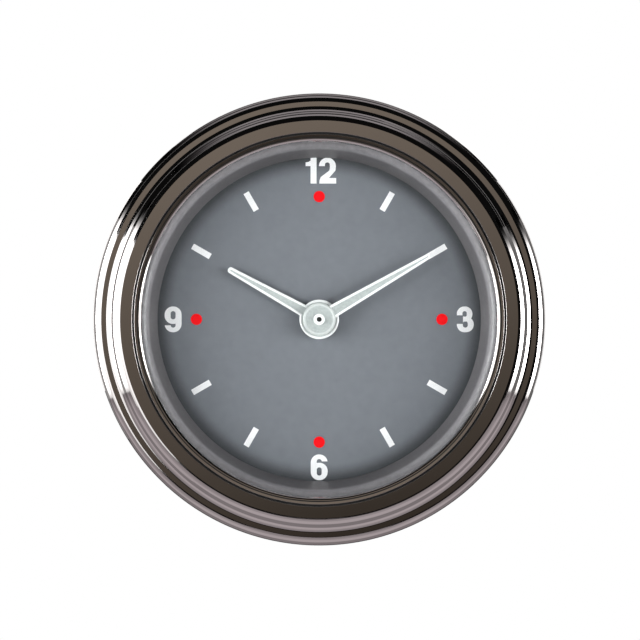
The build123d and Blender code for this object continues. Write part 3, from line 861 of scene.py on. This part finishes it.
knob_place = middle("set_knob")
knob_front, knob_back, knob_radius = span("set_knob")
knob_ridges = 24
knob_bore = 1.0
knob_neck_radius = 2.4
knob_section = rounded(
    (knob_bore, knob_front),
    (knob_neck_radius, knob_front, 0.1),
    (knob_neck_radius, knob_front + 1.0, 0.15),
    (knob_radius - 0.4, knob_front + 1.0),
    (knob_radius, knob_front + 1.4),
    (knob_radius, knob_back - 0.6),
    (knob_radius - 0.6, knob_back, 0.4),
    (2.6, knob_back, 0.2),
    (2.3, knob_back - 0.3, 0.2),
    (0, knob_back - 0.3),
    (0, knob_back - 1.0),
    (knob_bore, knob_back - 1.0),
)
knob_ripple = knurl(knob_ridges, knob_radius - 0.2, 0.25)
knob_segments = knob_ridges * SEGMENTS_PER_RIDGE
knob = lathe("setting_knob", held(knob_section), knob_place, knob_segments, knob_ripple)
finished(knob, "setting", "black_plastic", "set_knob")

grommet_front, grommet_back, grommet_radius = span("shaft_grommet")
wall_front, wall_back = grommet_front + 0.8, grommet_back - 0.9
grommet_bore = 1.06
grommet_neck_radius = grommet_radius - 0.8
grommet_section = rounded(
    (grommet_bore, grommet_front),
    (grommet_radius, grommet_front, 0.35),
    (grommet_radius, wall_front, 0.1),
    (grommet_neck_radius, wall_front),
    (grommet_neck_radius, wall_back),
    (grommet_radius, wall_back, 0.15),
    (grommet_radius, grommet_back, 0.5),
    (grommet_bore, grommet_back, 0.2),
)
grommet = lathe("grommet", held(grommet_section), knob_place)
finished(grommet, "housing", "rubber", "shaft_grommet")

block_back = span("terminal_block")[1]
block_low, block_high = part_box("terminal_block")
block_middle = complex(*middle("terminal_block"))
case_back = span("case")[1]
block_width = (block_high.x - block_low.x) / MM
block_height = (block_high.z - block_low.z) / MM
block_outline = box_outline(block_width, block_height, 1.2, block_middle)
block = softened(prism("insulator", block_outline, case_back, block_back), 0.35, 3)
terminal_names = ("power", "ground", "light")
collars = []
for name in terminal_names:
    collar_outline = box_outline(2.6, 8.0, 0.5, complex(*middle(f"{name}_terminal")))
    collar = prism("collar", collar_outline, block_back - 0.3, block_back + 0.35)
    collars.append(softened(collar, 0.15))
combined(block, "UNION", *collars)
finished(block, "housing", "black_plastic", "terminal_block")

blade_point = 1.0
eye_radius = 0.9
eye_steps = 40
for name in terminal_names:
    low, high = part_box(f"{name}_terminal")
    z_low, z_high, y_end = low.z / MM, high.z / MM, high.y / MM
    y_start = case_back + 0.8
    blade = prism(
        f"blade_{name}",
        rounded(
            (y_start, z_low),
            (y_end - blade_point, z_low, 0.2),
            (y_end, z_low + blade_point, 0.2),
            (y_end, z_high - blade_point, 0.2),
            (y_end - blade_point, z_high, 0.2),
            (y_start, z_high),
        ),
        low.x / MM,
        high.x / MM,
        "X",
    )
    eye_middle = complex(y_end - 2.8, (z_low + z_high) / 2)
    eye = [eye_middle + eye_radius * exp(2j * pi * k / eye_steps) for k in range(eye_steps)]
    combined(blade, "DIFFERENCE", prism("eye", eye, low.x / MM - 1, high.x / MM + 1, "X"))
    finished(softened(blade, 0.14), "housing", "tinned_brass", f"{name}_terminal")

lamp_place = middle("lamp_bulb")
socket_front, socket_back, socket_radius = span("lamp_socket")
socket_bore = 2.2
socket_floor = socket_front + 3.0
socket_neck_radius = socket_radius - 1.5
socket_rear = case_back + 1.6
socket_segments = 160
socket_section = rounded(
    (socket_bore, socket_front, 0.2),
    (socket_neck_radius, socket_front, 0.4),
    (socket_neck_radius, case_back),
    (socket_radius, case_back, 0.2),
    (socket_radius, socket_rear, 0.6),
    (0, socket_rear),
    (0, socket_floor),
    (socket_bore, socket_floor),
)
socket = lathe("lamp_holder", held(socket_section), lamp_place, socket_segments)
grip = prism("grip", box_outline(9.5, 2.2, 0.5, complex(*lamp_place)), case_back + 1.4, socket_back)
combined(socket, "UNION", softened(grip, 0.3, 3))
finished(socket, "lamp", "black_plastic", "lamp_socket")


# Stage, lights and camera


def sheet(name, material, corners, faces=(range(4),), seen=False):
    """Flat card with four corners, or a strip with more, that the camera may not see."""
    mesh = bpy.data.meshes.new(name)
    mesh.from_pydata(corners, [], faces)
    mesh.materials.append(material)
    thing = bpy.data.objects.new(name, mesh)
    bpy.context.scene.collection.objects.link(thing)
    thing.visible_camera = seen
    return thing


def side_card(name, x, y_range, z_range, low, high, **fading):
    """Card that stands across X."""
    (y0, y1), (z0, z1) = y_range, z_range
    corners = [(x, y0, z0), (x, y1, z0), (x, y1, z1), (x, y0, z1)]
    sheet(name, glow(name, low, high, **fading), corners)


def level_card(name, z, x_range, y_range, light, fade):
    """Card that lies across Z."""
    (x0, x1), (y0, y1) = x_range, y_range
    corners = [(x0, y0, z), (x1, y0, z), (x1, y1, z), (x0, y1, z)]
    sheet(name, glow(name, light, light, fade=fade), corners)


def facing_card(name, y, x_range, z_range, low, high, **slope):
    """Card that faces the object along Y."""
    (x0, x1), (z0, z1) = x_range, z_range
    corners = [(x0, y, z0), (x1, y, z0), (x1, y, z1), (x0, y, z1)]
    sheet(name, glow(name, low, high, **slope), corners)


def arc_card(name, radius, bearings, y_range, light):
    """Strip bent about the dial's axis between two bearings."""
    steps = 12
    turns = [radians(bearings[0] + (bearings[1] - bearings[0]) * k / steps) for k in range(steps + 1)]
    corners = [(radius * sin(turn), y, radius * cos(turn)) for turn in turns for y in y_range]
    faces = [(2 * k, 2 * k + 1, 2 * k + 3, 2 * k + 2) for k in range(steps)]
    sheet(name, glow(name, light, light), corners, faces)


def grey(level):
    """Neutral light of a level."""
    return (level, level, level)


# The side cards are what the chrome shows at three and nine o'clock. A fade is an axis, its
# centre, and the distances from it up to which the card is full and from which it is dark.

card_x = 0.8
side_light = grey(10.2)
right_fade = ("Z", 0.0, 0.15, 0.45)
left_fade = ("Z", 0.055, 0.2, 0.5)
side_card("card_right", card_x, (-1.3, -0.2), (-0.47, 0.46), side_light, side_light, fade=right_fade)
side_card("card_left", -card_x, (-1.0, -0.1), (-0.47, 0.56), side_light, side_light, fade=left_fade)
side_card("card_dim_right", card_x, (-0.2, 0.65), (-0.5, 0.4), grey(0.2), grey(0.2))
side_card("card_dim_left", -card_x, (-0.1, 0.65), (-0.5, 0.4), grey(0.45), grey(0.45))
arc_card("strip_right", card_x, (18, 68), (-0.05, 0.03), grey(0.35))
arc_card("strip_left", card_x, (296, 338), (-0.54, -0.43), grey(0.30))
left_front_corners = [
    (-card_x, -1.0, -0.45),
    (-0.25, -1.6, -0.25),
    (-0.25, -1.6, 0.10),
    (-card_x, -1.0, 0.34),
]
left_front_light = glow("card_left_front", grey(1.0), grey(3.2), reach=0.3)
sheet("card_left_front", left_front_light, left_front_corners)

# The cards above and below are bands along Y. A band is its two ends and its level.

band_reach = (-0.79, 0.79)
top_z, bottom_z = 0.8, -0.3
top_fade = ("X", 0.0, 0.25, 0.95)
bottom_fade = ("X", 0.0, 0.6, 1.3)
top_bands = [(-0.56, -0.14, 0.37), (-0.14, 0.08, 0.05), (0.08, 0.55, 0.31)]
bottom_bands = [(-1.3, -0.55, 0.36), (-0.55, -0.3, 0.44), (-0.3, -0.06, 0.58), (-0.06, 0.3, 0.30)]
for index, (y0, y1, level) in enumerate(top_bands):
    silver = (level, 0.94 * level, 0.97 * level)
    level_card(f"card_top_{index}", top_z, band_reach, (y0, y1), silver, top_fade)
for index, (y0, y1, level) in enumerate(bottom_bands):
    lilac = (level, 0.90 * level, 0.94 * level)
    level_card(f"card_bottom_{index}", bottom_z, band_reach, (y0, y1), lilac, bottom_fade)

# The small front card is what the bezel's flats and the glass show.

front_half = (-0.085, 0.085)
front_dim, front_lit = (0.035, 0.028, 0.022), (0.26, 0.22, 0.18)
front_slope = {"toward": (-0.26, 0.0, 0.966), "reach": 0.075}
facing_card("card_front", -0.62, front_half, front_half, front_dim, front_lit, **front_slope)

facing_card("card_rear", 1.2, (-0.7, 0.7), (-0.4, 0.9), grey(0.7), grey(1.2), reach=0.5)
side_card("card_rear_right", 0.9, (0.65, 1.3), (-0.3, 0.7), grey(1.5), grey(1.5))
side_card("card_rear_left", -0.9, (0.65, 1.3), (-0.3, 0.7), grey(2.2), grey(2.2))


def faded_out(material, near, far):
    """Turns a stage material into the backdrop's white from one distance to another from the axis."""
    tree = material.node_tree
    end = next(node for node in tree.nodes if node.type == "OUTPUT_MATERIAL")
    paint = end.inputs["Surface"].links[0].from_socket
    place = add(tree, "SeparateXYZ", {"Vector": add(tree, "NewGeometry").outputs["Position"]})
    across = add(tree, "CombineXYZ", {"X": place.outputs["X"], "Y": place.outputs["Y"]})
    distance = add(tree, "VectorMath", {0: across.outputs["Vector"]}, operation="LENGTH").outputs["Value"]
    share = {"Value": distance, "From Min": near, "From Max": far}
    fade = add(tree, "MapRange", share, interpolation_type="SMOOTHSTEP").outputs["Result"]
    mixed = add(tree, "MixShader", {"Fac": fade})
    tree.links.new(paint, mixed.inputs[1])
    tree.links.new(add(tree, "Emission", {"Strength": 1.0}).outputs["Emission"], mixed.inputs[2])
    tree.links.new(mixed.outputs["Shader"], end.inputs["Surface"])
    return material


floor_paint = surface("floor_paint", (0.72, 0.72, 0.72), (0.76, 0.76, 0.76), (0.7, 0.8), 20)
floor_half, floor_z = 1.05, -0.2
floor_corners = [
    (x * floor_half, y * floor_half, floor_z) for x, y in ((-1, -1), (1, -1), (1, 1), (-1, 1))
]
floor = sheet("floor", faded_out(floor_paint, 0.35, 0.95), floor_corners, seen=True)
floor.visible_glossy = False

dome_radius = 2.8
dome_shape = bmesh.new()
bmesh.ops.create_icosphere(dome_shape, subdivisions=4, radius=dome_radius)
dome_mesh = bpy.data.meshes.new("dome")
dome_shape.to_mesh(dome_mesh)
dome_shape.free()
dome_mesh.materials.append(glow("backdrop", (1, 1, 1), (1, 1, 1)))
dome = bpy.data.objects.new("dome", dome_mesh)
bpy.context.scene.collection.objects.link(dome)
dome.visible_diffuse = False
dome.visible_glossy = False
dome.visible_transmission = False
dome.visible_shadow = False

world_light = 0.005
world = bpy.data.worlds.new("studio")
world.use_nodes = True
world.node_tree.nodes["Background"].inputs["Color"].default_value = (*grey(world_light), 1)
bpy.context.scene.world = world
bpy.context.scene.view_settings.view_transform = "Standard"
bpy.context.scene.cycles.use_denoising = True

camera_data = bpy.data.cameras.new("camera")
camera_data.lens = 200
camera_data.sensor_width = 36
camera_data.clip_start = 0.01
camera = bpy.data.objects.new("camera", camera_data)
bpy.context.scene.collection.objects.link(camera)
camera.location = (0.000106, -0.4743, -0.000086)
camera.rotation_euler = (pi / 2, 0, 0)
bpy.context.scene.camera = camera
